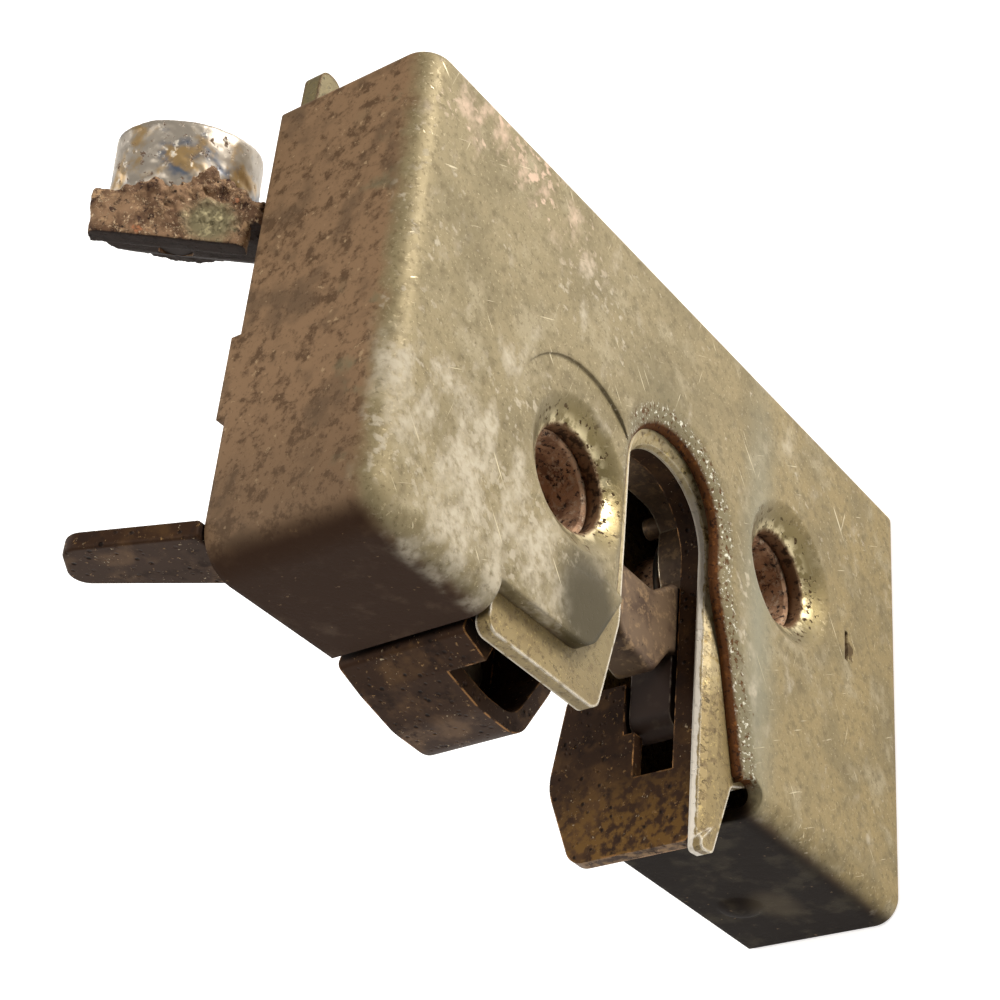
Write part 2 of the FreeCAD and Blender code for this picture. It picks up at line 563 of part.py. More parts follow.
def release_link():
    """Flat bar behind both levers; its end slots are higher than the pins, which move on arcs."""
    back = LINK_FRONT + LINK_SHEET
    low, high = LINK_ACROSS - 3.6, LINK_ACROSS + 3.2
    bar_body = plate([(17.2, low, 3.2), (86.4, low, 3.2), (86.4, high, 3.2), (17.2, high, 3.2)], LINK_FRONT, back)
    ends = [(LEVER_AXIS[0], DRIVE_PIN_R, LEVER_AXIS[1], LEVER_ARM, LEVER_TURNS),
            (PAWL_AXIS[0], STUD_R, PAWL_AXIS[1], STUD_ARM, PAWL_TURNS)]
    for down, radius, axis_across, arm, turns in ends:
        lowest, highest = axis_across - arm, axis_across - arm * math.cos(math.radians(turns))
        half = radius + 0.12
        start, end, bend = lowest - half - 0.15, highest + half + 0.15, half - 0.02
        slot = plate([(down - half, start, bend), (down - half, end, bend), (down + half, end, bend),
                      (down + half, start, bend)], LINK_FRONT - 1, back + 1)
        bar_body = bar_body.cut(slot)
    return bar_body


def link_guide():
    """Strap across the link, riveted to the back plate on both sides of it."""
    inner, outer = LINK_FRONT + LINK_SHEET + 0.3, LINK_FRONT + LINK_SHEET + 1.5
    foot = REAR + STRAP_SHEET
    strap = wall([(REAR, 27.0), (foot, 27.0), (foot, 32.5, 0.6), (outer, 32.5, 1.2), (outer, 43.2, 1.2),
                  (foot, 43.2, 0.6), (foot, 49.0), (REAR, 49.0), (REAR, 42.0, 0.6), (inner, 42.0, 0.6),
                  (inner, 33.7, 0.6), (REAR, 33.7, 0.6)], 55.3, 59.7)
    for centre in STRAP_RIVETS:
        strap = strap.cut(bar(centre, RIVET_R, 0, 40))
    return strap


def inside_lever():
    back = LEVER_FRONT + INSIDE_SHEET
    down, across = INSIDE_AXIS
    body = plate([(72.2, 4.6, 3.6), (79.9, 4.6, 3.6), (82.4, across, 4.6), (80.2, 30, 6), (80.2, 39.6, 1),
                  (76.2, 39.6, 2), (76.2, 30, 6), (73.5, across, 5)], LEVER_FRONT, back)
    return body.cut(bar(INSIDE_AXIS, 2.5 + RUNNING, 0, 40)).cut(bar(ROD_EYE, ROD_EYE_R, 0, 40))


def inside_lever_pivot():
    back = LEVER_FRONT + INSIDE_SHEET
    inner = PLATE_FRONT - 1
    return turned(INSIDE_AXIS, [(3.6, inner, PLATE_FRONT), (2.5, inner, back + 0.2), (2.0, back, back + 1.0),
                                (2.5, back + 0.9, back + 1.6)])


def inside_lever_clip():
    back = LEVER_FRONT + INSIDE_SHEET
    ring = bar(INSIDE_AXIS, 4.4, back + 0.2, back + 0.9).cut(bar(INSIDE_AXIS, 2.0, 0, 40))
    down, across = INSIDE_AXIS
    return ring.cut(plate([(down - 1.6, across), (down + 1.6, across), (down + 1.6, across - 9),
                           (down - 1.6, across - 9)], back, back + 2))


# ---- locking lever ------------------------------------------------------------------------------------------
def lock_lever():
    body = shelf([(2.5, 9.5, 2), (2.5, 18.25, 0.2), (-0.5, 18.25, 0.3), (-4.6, 30.2, 2.0), (0.0, 33.5, 1.8),
                  (6.9, 20.4, 5), (14.8, 14.5, 4), (16.6, 9, 3), (13.5, 4.6, 3), (6, 5.2, 3)], LOCK_LOW, LOCK_HIGH)
    body = soften(body, 0.35, lambda edge: edge.BoundBox.XLength < 1e-3 and edge.BoundBox.Center.y > 19)
    return body.cut(cross_bar(LOCK_AXIS, LOCK_PIN_R + RUNNING, 0, 12))


def lock_bracket():
    low, high = LOCK_HIGH + 0.3, LOCK_HIGH + 1.9
    arm = shelf([(7.0, FOOT_SPAN[1]), (7.0, 6.0, 3), (16.6, 6.0, 3), (16.6, FOOT_SPAN[1])], low, high)
    foot = plate([(7.0, low), (16.6, low), (16.6, 13.6, 1.5), (7.0, 13.6, 1.5)], *FOOT_SPAN)
    body = fused([arm, foot]).cut(cross_bar(LOCK_AXIS, LOCK_PIN_R, 0, 12))
    for centre in RIVETS[3:]:
        body = body.cut(bar(centre, RIVET_R, 0, 40))
    return body


def lock_pin():
    return fused([cross_bar(LOCK_AXIS, LOCK_PIN_R, LOCK_LOW - 0.5, LOCK_HIGH + 2.5),
                  cross_bar(LOCK_AXIS, 3.2, LOCK_LOW - 0.75, LOCK_LOW - 0.1),
                  cross_bar(LOCK_AXIS, 2.8, LOCK_HIGH + 1.9, LOCK_HIGH + 2.6)])


def lock_spring():
    """Leaf that presses on the lock lever's cam and holds it in either position."""
    leaf = wall([(6.4, 2.4, 0.5), (14.3, 2.4), (14.3, 8.5, 1), (11.0, 4.6, 3), (6.4, 4.6, 0.5)], 17.2, 17.7)
    foot = plate([(17.2, 2.4), (21.0, 2.4, 1), (21.0, 4.4, 1), (17.2, 4.4)], 13.7, 14.2)
    return fused([leaf, foot])


# ---- write every sub-part -----------------------------------------------------------------------------------
claw = fork()
pawl, pawl_stud, stud_ring = pawl_parts()
ramp = guide_ramp()
frame = guide_frame()
for rivet in RIVETS[:2]:
    ramp = ramp.cut(bar(rivet, RIVET_R, 0, 40))
frame = frame.cut(bar(RIVETS[2], RIVET_R, 10, 40))

save("outer_case", outer_case())
save("mouth_lip", mouth_lip())
save("guide_frame", frame)
save("guide_ramp", ramp)
save("back_plate", back_plate())
save("upper_bush", bush(UPPER_SCREW))
save("lower_bush", bush(LOWER_SCREW))
save("plate_rivets", plate_rivets())
save("spring_post", spring_post())
save("fork", claw)
save("fork_buffer", fork_buffer(claw))
save("fork_washer", fork_washer())
save("fork_spring", fork_spring())
save("pawl", pawl)
save("pawl_stud", pawl_stud)
save("stud_ring", stud_ring)
save("pawl_pin", pawl_pin())
save("pawl_spring", pawl_spring())
save("outside_lever", outside_lever())
save("contact_pad", contact_pad())
save("pad_rivet", pad_rivet())
save("drive_pin", drive_pin())
save("outside_lever_pivot", outside_lever_pivot())
save("outside_lever_spring", outside_lever_spring())
save("release_link", release_link())
save("link_guide", link_guide())
save("inside_lever", inside_lever())
save("inside_lever_pivot", inside_lever_pivot())
save("inside_lever_clip", inside_lever_clip())
save("lock_lever", lock_lever())
save("lock_bracket", lock_bracket())
save("lock_pin", lock_pin())
save("lock_spring", lock_spring())
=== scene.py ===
"""Looks of an old rotary side-door latch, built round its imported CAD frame.

Blender's unit is the metre. The materials and the outlines of new pieces work in millimetres.
"""

import json
import math
import random

import bmesh
import bpy
from mathutils import Matrix, Vector, noise

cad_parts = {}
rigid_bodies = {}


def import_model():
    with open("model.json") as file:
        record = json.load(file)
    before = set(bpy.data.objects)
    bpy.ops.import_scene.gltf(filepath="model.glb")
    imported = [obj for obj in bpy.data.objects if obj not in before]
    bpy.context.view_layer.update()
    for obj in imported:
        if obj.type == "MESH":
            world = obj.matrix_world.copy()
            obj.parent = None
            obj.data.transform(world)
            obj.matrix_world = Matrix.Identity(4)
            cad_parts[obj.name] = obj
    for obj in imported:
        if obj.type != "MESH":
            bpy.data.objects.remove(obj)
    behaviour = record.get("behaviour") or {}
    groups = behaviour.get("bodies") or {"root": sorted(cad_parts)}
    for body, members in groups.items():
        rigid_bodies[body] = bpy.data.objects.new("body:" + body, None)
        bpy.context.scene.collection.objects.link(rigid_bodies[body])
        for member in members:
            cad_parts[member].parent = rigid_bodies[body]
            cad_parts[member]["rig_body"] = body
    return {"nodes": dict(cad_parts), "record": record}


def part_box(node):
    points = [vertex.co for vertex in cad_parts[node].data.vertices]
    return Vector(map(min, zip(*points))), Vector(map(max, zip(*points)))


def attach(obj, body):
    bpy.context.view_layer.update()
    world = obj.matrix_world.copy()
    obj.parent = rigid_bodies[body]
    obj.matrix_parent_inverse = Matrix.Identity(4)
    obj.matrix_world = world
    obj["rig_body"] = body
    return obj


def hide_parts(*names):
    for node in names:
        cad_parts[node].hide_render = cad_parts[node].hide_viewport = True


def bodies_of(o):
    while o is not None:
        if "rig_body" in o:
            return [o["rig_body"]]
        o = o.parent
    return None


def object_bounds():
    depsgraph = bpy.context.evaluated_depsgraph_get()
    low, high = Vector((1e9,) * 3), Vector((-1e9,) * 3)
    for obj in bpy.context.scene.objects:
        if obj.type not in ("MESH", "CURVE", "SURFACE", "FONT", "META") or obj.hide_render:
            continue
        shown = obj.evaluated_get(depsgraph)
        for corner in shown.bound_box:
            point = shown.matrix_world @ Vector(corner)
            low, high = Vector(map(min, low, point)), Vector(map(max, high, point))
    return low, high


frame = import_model()
cad_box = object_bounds()

MM = 0.001
PER_METRE = 1000.0

# Camera: where it stands round the object, and what it aims at.
CAMERA_AZIMUTH = -46.46
CAMERA_ELEVATION = 40.50
CAMERA_ROLL = -49.98
CAMERA_DISTANCE = 218.7 * MM
CAMERA_LENS = 77.47
AIM_FROM_CENTRE = Vector((4.14, -0.21, 1.07)) * MM

# Lights: direction from the object, distance and size in metres, power in watts, colour.
KEY_LIGHT = ((0.90, -1.00, 0.22), 0.55, 0.26, 3.7, (1.0, 0.965, 0.915))
TOP_LIGHT = ((-0.25, 0.10, 1.00), 0.80, 0.60, 4.5, (1.0, 0.965, 0.92))
REAR_LIGHT = ((0.20, 1.00, 0.55), 0.70, 0.40, 2.0, (1.0, 0.98, 0.96))
WORLD_STRENGTH = 0.16
FLOOR_GLOW = 0.62


def mm_box(node):
    """A CAD node's lowest and highest corners in millimetres."""
    low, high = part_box(node)
    return low * PER_METRE, high * PER_METRE


def mm_centre(node):
    low, high = mm_box(node)
    return (low + high) / 2


def body_of(node):
    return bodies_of(frame["nodes"][node])[0]


# ---- materials -----------------------------------------------------------------------------------
def srgb(red, green, blue):
    """Linear colour of an 8-bit display colour."""
    levels = [level / 255 for level in (red, green, blue)]
    return (*(v / 12.92 if v <= 0.04045 else ((v + 0.055) / 1.055) ** 2.4 for v in levels), 1.0)


class Finish:
    """A material built up in coats over bare metal. Lengths are in millimetres, in the object's own frame."""

    def __init__(self, name, colour, rough, metal):
        self.material = bpy.data.materials.new(name)
        self.material.use_nodes = True
        self.tree = self.material.node_tree
        self.shader = self.tree.nodes["Principled BSDF"]
        self.colour, self.rough, self.metal, self.height = colour, rough, metal, 0.0
        position = self.add("TexCoord").outputs["Object"]
        self.place = self.add("VectorMath", {0: position, "Scale": PER_METRE}, operation="SCALE").outputs[0]
        self.axes = self.add("SeparateXYZ", {0: self.place}).outputs

    def add(self, kind, inputs=None, **settings):
        node = self.tree.nodes.new("ShaderNode" + kind)
        for key, value in settings.items():
            setattr(node, key, value)
        for key, value in (inputs or {}).items():
            if isinstance(value, bpy.types.NodeSocket):
                self.tree.links.new(value, node.inputs[key])
            else:
                node.inputs[key].default_value = value
        return node

    def math(self, operation, first, second=0.0, clamp=False):
        return self.add("Math", {0: first, 1: second}, operation=operation, use_clamp=clamp).outputs[0]

    def step(self, value, low, high):
        """0 below low and 1 above high, smooth between; low may be the larger."""
        if low > high:
            return self.math("SUBTRACT", 1.0, self.step(value, high, low))
        inputs = {"Value": value, "From Min": low, "From Max": high}
        return self.add("MapRange", inputs, interpolation_type="SMOOTHSTEP").outputs["Result"]

    def times(self, *masks):
        result = masks[0]
        for mask in masks[1:]:
            result = self.math("MULTIPLY", result, mask)
        return result

    def most(self, *masks):
        result = masks[0]
        for mask in masks[1:]:
            result = self.math("MAXIMUM", result, mask)
        return result

    def stretched(self, stretch, turn):
        inputs = {"Vector": self.place, "Rotation": [math.radians(a) for a in turn],
                  "Scale": [1 / share for share in stretch]}
        return self.add("Mapping", inputs, vector_type="TEXTURE").outputs[0]

    def noise(self, size, seed=0.0, detail=4.0, rough=0.55, stretch=(1, 1, 1), turn=(0, 0, 0)):
        """Fractal noise with features of about this size."""
        inputs = {"Vector": self.stretched(stretch, turn), "W": seed, "Scale": 1 / size, "Detail": detail,
                  "Roughness": rough}
        return self.add("TexNoise", inputs, noise_dimensions="4D").outputs["Fac"]

    def spots(self, low, high, *shape, **more):
        """Mask of the places where the noise is above low, full where it's above high."""
        return self.step(self.noise(*shape, **more), low, high)

    def cells(self, size, seed=0.0):
        """Distance to the nearest of scattered points, as a share of their spacing."""
        inputs = {"Vector": self.place, "W": seed, "Scale": 1 / size}
        return self.add("TexVoronoi", inputs, voronoi_dimensions="4D").outputs["Distance"]

    def distance(self, point, weights=(1, 1, 1)):
        """Distance from a point, with each axis weighted; a weight of 0 makes it a distance from a line."""
        offset = self.add("VectorMath", {0: self.place, 1: point}, operation="SUBTRACT").outputs[0]
        scaled = self.add("VectorMath", {0: offset, 1: weights}, operation="MULTIPLY").outputs[0]
        return self.add("VectorMath", {0: scaled}, operation="LENGTH").outputs["Value"]

    def near(self, point, radius, fade, weights=(1, 1, 1)):
        return self.step(self.distance(point, weights), radius + fade, radius - fade)

    def creases(self, reach, low=0.75, high=0.35):
        """1 deep in corners and gaps."""
        inputs = {"Distance": reach * MM}
        shade = self.add("AmbientOcclusion", inputs, samples=6).outputs["AO"]
        return self.step(shade, low, high)

    def edges(self, radius, low=0.985, high=0.90):
        """1 along sharp edges."""
        rounded = self.add("Bevel", {"Radius": radius * MM}, samples=6).outputs[0]
        plain = self.add("NewGeometry").outputs["Normal"]
        alike = self.add("VectorMath", {0: rounded, 1: plain}, operation="DOT_PRODUCT").outputs["Value"]
        return self.step(alike, low, high)

    def coat(self, mask, colour=None, rough=None, metal=None, height=None):
        """Lays another finish over the last where mask is 1. height is in millimetres, down if negative."""
        if colour is not None:
            self.colour = self.add("Mix", {0: mask, 6: self.colour, 7: colour}, data_type="RGBA").outputs[2]
        if rough is not None:
            self.rough = self.add("Mix", {0: mask, 2: self.rough, 3: rough}).outputs[0]
        if metal is not None:
            self.metal = self.add("Mix", {0: mask, 2: self.metal, 3: metal}).outputs[0]
        if height is not None:
            self.height = self.math("ADD", self.height, self.math("MULTIPLY", mask, height))
        return self

    def done(self, bevel=0.15, gloss=0.5):
        """Connects the coats to the shader. gloss is the strength of the reflection off what isn't metal."""
        self.shader.inputs["Specular IOR Level"].default_value = gloss
        smooth = self.add("Bevel", {"Radius": bevel * MM}, samples=6).outputs[0]
        height = self.math("MULTIPLY", self.height, MM)
        inputs = {"Height": height, "Normal": smooth, "Strength": 1.0, "Distance": 1.0}
        normal = self.add("Bump", inputs).outputs[0]
        surface = {"Base Color": self.colour, "Roughness": self.rough, "Metallic": self.metal,
                   "Normal": normal}
        for socket, value in surface.items():
            if isinstance(value, bpy.types.NodeSocket):
                self.tree.links.new(value, self.shader.inputs[socket])
            else:
                self.shader.inputs[socket].default_value = value
        return self.material


UPPER_HOLE = mm_centre("upper_bush")
LOWER_HOLE = mm_centre("lower_bush")
ROUND_BUSH = (1, 0, 1)
# Places on the case: the painted shadow at its tip, a scuff on its inboard wall, the scar in its face.
PAINTED_TIP_SHADOW, TIP_SHADOW_SHARES = (-17.2, 0, 15.0), (0.75, 0.2, 0.9)
SCUFF = (-24, 9.4, -35)
SCAR = (3.2, 0, -34.0)

# The outside lever's shelf: where it starts, and the directions along it, up to its flange and out.
SHELF_START = Vector((17.0, 18.3, 35.5))
SHELF_SLOPE, SHELF_TILT = math.radians(39), math.radians(14)
ALONG = Vector((0, math.cos(SHELF_SLOPE), math.sin(SHELF_SLOPE)))
SQUARE = Vector((0, -math.sin(SHELF_SLOPE), math.cos(SHELF_SLOPE)))
OUTBOARD = Vector((1, 0, 0))
OUT = OUTBOARD * math.cos(SHELF_TILT) + SQUARE * math.sin(SHELF_TILT)
UP = SQUARE * math.cos(SHELF_TILT) - OUTBOARD * math.sin(SHELF_TILT)
PAD_CENTRE, PAD_RADIUS = (-1.4, 14.8), 7.2

# The mouth's place in the case's own measures, and the back plate's two sides.
MOUTH_ACROSS, MOUTH_DOWN = 24, 45
PLATE_FRONT, PLATE_REAR = 16.0, 18.0


def on_shelf(out, up, along):
    return SHELF_START + OUT * out + UP * up + ALONG * along


def shelf_place(point):
    """(out, up, along) of a point in millimetres."""
    offset = point - SHELF_START
    return offset.dot(OUT), offset.dot(UP), offset.dot(ALONG)


def painted_underside_shade(finish):
    """Painted shade: nearly black on whatever faces down or in at the outside lever."""
    normal = finish.add("NewGeometry").outputs["Normal"]
    down = finish.add("VectorMath", {0: normal, 1: -UP}, operation="DOT_PRODUCT").outputs["Value"]
    inward = finish.add("VectorMath", {0: normal, 1: -OUT}, operation="DOT_PRODUCT").outputs["Value"]
    under = finish.step(finish.most(down, finish.math("SUBTRACT", inward, 0.1)), 0.35, 0.75)
    finish.coat(finish.times(under, finish.step(finish.axes[2], 33, 37)), srgb(40, 28, 22), 0.9, 0.0)


def scratches(finish, seed):
    """Mask of short fine scratches in three directions."""
    lines = []
    for index, angle in enumerate((18, 63, -38)):
        streak = finish.noise(0.55, seed + index, 2, 0.5, stretch=(0.07, 1, 1.9), turn=(0, angle, 0))
        patch = finish.noise(3.5, seed + 5 + index, 2)
        lines.append(finish.times(finish.step(streak, 0.68, 0.73), finish.step(patch, 0.45, 0.6)))
    return finish.most(*lines)


def zinc_bloom(finish):
    """Mask of the white corrosion: soft blotches, thick round the upper inboard corner, thin elsewhere."""
    zones = [((-16, 0, 31), 12, 9, (1.0, 0.6, 0.85), 0.22), ((-3, 0, 29), 7, 6, (1, 0.5, 1), 0.12),
             ((-12, 0, 43), 5, 5, (0.7, 0.5, 1), 0.20), ((18, 0, 17), 5, 6, (1, 0.5, 0.7), 0.17),
             ((24, 0, 30), 3, 4, (1, 0.5, 0.35), 0.20), ((10, 0, 43), 3, 5, (0.3, 0.5, 1), 0.15),
             ((-4, 0.4, -11.5), 1.2, 2.6, (0.13, 0.5, 1), 0.16), ((18, 0, -30), 6, 8, (1, 0.5, 0.5), 0.08)]
    lift = finish.most(*[finish.math("MULTIPLY", finish.near(point, radius, fade, weights), amount)
                         for point, radius, fade, weights, amount in zones])
    blotch = finish.math("ADD", finish.noise(3.0, 31, 4, 0.5, stretch=(0.6, 1, 1), turn=(0, 20, 0)), lift)
    speck = finish.math("ADD", finish.noise(0.9, 33, 3, 0.5), finish.math("MULTIPLY", lift, 0.75))
    clump = finish.spots(0.40, 0.62, 5, 35, 2)
    ragged = finish.spots(0.25, 0.60, 0.9, 37, 4, 0.6)
    patches = finish.times(finish.step(blotch, 0.60, 0.82), ragged)
    specks = finish.times(finish.step(speck, 0.62, 0.76), clump)
    # no bloom where the shadow at the tip is painted
    tip = finish.near(PAINTED_TIP_SHADOW, 3.6, 2.0, TIP_SHADOW_SHARES)
    clear = finish.math("SUBTRACT", 1.0, tip)
    shallow = finish.step(finish.axes[1], 3.2, 1.0)
    return finish.times(shallow, clear, finish.most(patches, finish.times(specks, 0.8)))


def side_dirt_and_shade(finish):
    """Brown film on the walls, darker towards the inboard side, and painted shade that makes the inboard wall
    nearly black, darkest low down.
    """
    wander = finish.math("MULTIPLY", finish.noise(3, 21, 6), 2.4)
    deep = finish.step(finish.math("ADD", finish.axes[1], wander), 2.2, 4.2)
    finish.coat(deep, srgb(136, 108, 80), 0.6, 0.2)
    grain = finish.noise(1.3, 23, 6, 0.7)
    grained = finish.times(deep, finish.step(grain, 0.48, 0.62), 0.9)
    finish.coat(grained, srgb(86, 64, 44), 0.66, height=-0.015)
    finish.coat(finish.times(deep, finish.spots(0.50, 0.64, 6, 24, 5), 0.8), srgb(98, 78, 58), 0.62)
    finish.coat(finish.times(deep, finish.spots(0.55, 0.68, 0.45, 26, 4, 0.7), 0.7), srgb(78, 58, 40), 0.7)
    finish.coat(finish.times(deep, finish.spots(0.62, 0.70, 0.7, 25, 5), 0.8), srgb(168, 142, 108), 0.5)
    olive = finish.times(deep, finish.spots(0.54, 0.66, 4, 29, 5), finish.step(finish.axes[1], 9, 4))
    finish.coat(finish.times(olive, 0.7), srgb(116, 108, 82), 0.5)
    finish.coat(finish.times(deep, finish.step(finish.axes[0], -6, -22), 0.45), srgb(84, 66, 48), 0.65)
    # painted shade: the inboard wall nearly black
    inboard = finish.times(finish.step(finish.axes[0], -21.4, -23.4), finish.step(finish.axes[1], 0.5, 2.4))
    finish.coat(inboard, srgb(48, 30, 17), 0.8, 0.0)
    finish.coat(finish.times(inboard, finish.spots(0.5, 0.7, 2.5, 27, 6), 0.7), srgb(66, 47, 30), 0.65)
    # painted shade, darker still towards the lower end of the inboard wall
    lower = finish.times(inboard, finish.step(finish.axes[2], 0, -14))
    finish.coat(lower, srgb(24, 15, 8), 0.8, 0.0)
    finish.coat(finish.times(lower, finish.spots(0.48, 0.66, 3.2, 30, 6), 0.7), srgb(50, 42, 26), 0.7)
    scuff = finish.near(SCUFF, 2.2, 1.2, (0.1, 1, 0.7))
    finish.coat(finish.times(scuff, inboard, 0.5), srgb(74, 62, 42), 0.65)
    finish.coat(finish.times(inboard, finish.spots(0.66, 0.74, 0.7, 28, 4), 0.6), srgb(112, 86, 56), 0.5)


def mouth_edge(finish):
    """Rolled edge round the mouth: pale crumbs on the roll that also paint its highlight, rust in the groove
    below it.
    """
    across, _, up = finish.axes
    box = finish.times(finish.step(across, 13.5, 12.5), finish.step(up, -16, -14.5), finish.step(up, 11, 9),
                       finish.step(across, -23.6, -22.6))
    roll = finish.times(box, finish.step(finish.axes[1], 0.01, 0.16))
    finish.coat(finish.times(roll, 0.7), srgb(108, 100, 76), 0.45, 0.35)
    # pale crumbs, brightened to paint the highlight along the roll's crest as well
    crumbs = finish.times(roll, finish.spots(0.56, 0.64, 0.4, 46, 4))
    finish.coat(crumbs, srgb(200, 196, 178), 0.45, 0.4, 0.02)
    finish.coat(finish.times(roll, finish.spots(0.53, 0.62, 0.5, 48, 4)), srgb(84, 58, 30), 0.65, 0.2, -0.02)
    groove = finish.times(box, finish.step(finish.axes[1], 0.42, 0.72))
    finish.coat(groove, srgb(80, 46, 18), 0.85, 0.05)
    finish.coat(finish.times(groove, finish.spots(0.52, 0.68, 0.8, 45, 5, 0.6)), srgb(112, 68, 28), 0.8)
    finish.coat(finish.times(groove, finish.spots(0.54, 0.62, 0.5, 47, 4)), srgb(46, 26, 12), 0.85)


def olive_zinc():
    """Olive chromate over zinc, with white bloom near the mouth and brown dirt round the sides."""
    finish = Finish("worn_olive_zinc", srgb(133, 120, 90), 0.50, 0.25)
    golden = finish.step(finish.axes[2], 15, -40)
    finish.coat(finish.times(golden, 0.8), srgb(136, 118, 78))
    finish.coat(finish.times(finish.spots(0.42, 0.62, 8, 1), 0.6), srgb(108, 97, 70), 0.54)
    finish.coat(finish.times(finish.spots(0.5, 0.70, 4, 2, 6), 0.6), srgb(158, 146, 118), 0.46)
    finish.coat(finish.times(finish.spots(0.48, 0.66, 1.4, 4, 6, 0.65), 0.6), srgb(98, 86, 60), 0.55)
    dark_grain = finish.times(finish.spots(0.52, 0.68, 0.5, 3, 5, 0.7), 0.7)
    finish.coat(dark_grain, srgb(84, 72, 48), 0.6, height=-0.01)
    finish.coat(finish.times(finish.spots(0.56, 0.66, 0.4, 6, 4, 0.7), 0.6), srgb(172, 158, 126), 0.45)
    # smooth grey and dark olive places beside the mouth; the dark olive ones are painted shadows, at the
    # case's tip and by the roll's closed end
    grey = finish.near((-4, 0, -14.5), 2.2, 3.2, (0.12, 0.3, 1))
    finish.coat(finish.times(grey, 0.8), srgb(128, 126, 108), 0.38)
    # painted shadow at the case's tip, beside the mouth
    finish.coat(finish.times(finish.near(PAINTED_TIP_SHADOW, 4.2, 1.6, TIP_SHADOW_SHARES), 0.95), srgb(62, 54, 33), 0.42)
    # painted shadow along the outer side of the roll at the mouth's closed end
    finish.coat(finish.times(finish.near((13, 0, 5), 1.5, 4.5, (1, 0.2, 0.5)), 0.8), srgb(92, 84, 58), 0.45)
    finish.coat(finish.times(scratches(finish, 11), 0.9), srgb(196, 184, 154), 0.3, 0.6)
    # brown film on the walls and painted shade on the inboard wall
    side_dirt_and_shade(finish)
    bloom = zinc_bloom(finish)
    finish.coat(finish.times(bloom, 0.85), srgb(178, 168, 148), 0.8, 0.0, 0.03)
    pink = finish.times(bloom, finish.near((23, 0, 31), 5, 4, (1, 0.4, 0.45)))
    finish.coat(pink, srgb(200, 168, 146), 0.8, 0.0)
    mouth_edge(finish)
    # screw dimples: olive walls with speckled gold rims, rust where they end
    for hole in (UPPER_HOLE, LOWER_HOLE):
        axis = (hole.x, 0, hole.z)
        finish.coat(finish.near(axis, 7.4, 1.2, ROUND_BUSH), srgb(112, 100, 68), 0.34, 0.75)
        rim = finish.near(axis, 6.0, 0.8, ROUND_BUSH)
        finish.coat(finish.times(rim, finish.spots(0.42, 0.58, 1.2, 41, 4)), srgb(206, 192, 154), 0.28, 0.85)
        ring = finish.times(finish.near(axis, 7.2, 0.8, ROUND_BUSH), finish.spots(0.56, 0.64, 0.6, 43, 4))
        finish.coat(ring, srgb(66, 48, 26), 0.7, 0.2, -0.03)
        bore = finish.times(finish.near(axis, 5.5, 0.2, ROUND_BUSH), finish.step(finish.axes[1], 1.4, 1.9))
        finish.coat(bore, srgb(108, 80, 56), 0.8, 0.05)
        finish.coat(finish.times(bore, finish.spots(0.50, 0.60, 0.9, 57, 5)), srgb(58, 40, 26), 0.85)
    # the scar low on the face
    wander = finish.math("MULTIPLY", finish.noise(0.7, 55, 4), 1.6)
    torn = finish.math("ADD", finish.distance(SCAR, (0.5, 0.2, 0.75)), wander)
    finish.coat(finish.times(finish.step(torn, 1.45, 1.1), 0.85), srgb(66, 48, 28), 0.8, 0.05, -0.05)
    # rust in the creases and a few freckles of it
    finish.coat(finish.creases(1.4, 0.55, 0.2), srgb(78, 52, 30), 0.85, 0.05)
    freckle = finish.step(finish.cells(3.4, 51), 0.09, 0.04)
    finish.coat(finish.times(freckle, finish.spots(0.5, 0.6, 6, 53)), srgb(84, 56, 32), 0.85, 0.05)
    return finish.done(0.75, 0.14)


def yellow_zinc():
    """Yellow chromate, brown where it has rotted, bright on its cut edges."""
    finish = Finish("worn_yellow_zinc", srgb(148, 129, 84), 0.42, 0.5)
    finish.coat(finish.spots(0.45, 0.65, 3, 1, 5), srgb(122, 101, 60), 0.46)
    finish.coat(finish.spots(0.50, 0.64, 0.9, 3, 6, 0.65), srgb(84, 62, 34), 0.6, 0.3, -0.03)
    finish.coat(finish.spots(0.57, 0.66, 0.45, 5, 4, 0.7), srgb(50, 34, 20), 0.8, 0.1, -0.05)
    finish.coat(finish.spots(0.57, 0.64, 0.5, 9, 4, 0.7), srgb(196, 174, 112), 0.3, 0.8)
    upper = finish.near((-16, 2, 10), 7, 6, (0.7, 0.3, 1))
    finish.coat(finish.times(upper, 0.8), srgb(116, 106, 74), 0.5, 0.3)
    finish.coat(finish.times(upper, finish.spots(0.52, 0.66, 2.2, 11, 5)), srgb(72, 54, 34), 0.7, 0.1)
    # the lip is paler than the rest towards the mouth's closed end, and duller at its low end
    lip = finish.step(finish.axes[1], 4.4, 3.2)
    worn = finish.spots(0.36, 0.52, 0.8, 15, 5)
    pale = finish.times(lip, finish.step(finish.axes[0], -17, -9), worn, 0.85)
    finish.coat(pale, srgb(176, 160, 124), 0.45, 0.3)
    finish.coat(finish.times(lip, finish.step(finish.axes[0], -9, -17), 0.6), srgb(124, 108, 76), 0.5, 0.3)
    rust = finish.times(finish.creases(1.6, 0.6, 0.25), finish.step(finish.axes[1], 2.4, 3.6))
    finish.coat(rust, srgb(80, 46, 22), 0.85, 0.05)
    ear = finish.step(finish.axes[0], 25.5, 27.5)
    finish.coat(finish.times(ear, 0.75), srgb(108, 100, 74), 0.5, 0.25)
    bright = finish.times(finish.edges(0.5), finish.spots(0.32, 0.48, 1.3, 7, 5))
    finish.coat(bright, srgb(214, 206, 190), 0.6, 0.2)
    finish.coat(finish.times(ear, finish.edges(0.6)), srgb(92, 68, 40), 0.7, 0.1)
    # the cut rim of the lip's lower leg is nearly white
    depth = finish.math("ADD", finish.axes[1], finish.math("MULTIPLY", finish.noise(1.2, 17, 4), 0.6))
    rim = finish.times(finish.step(depth, 2.68, 2.82), finish.step(finish.axes[1], 3.3, 3.1),
                       finish.step(finish.axes[2], -4, -7))
    finish.coat(rim, srgb(208, 200, 186), 0.6, 0.1)
    return finish.done(0.2, 0.25)


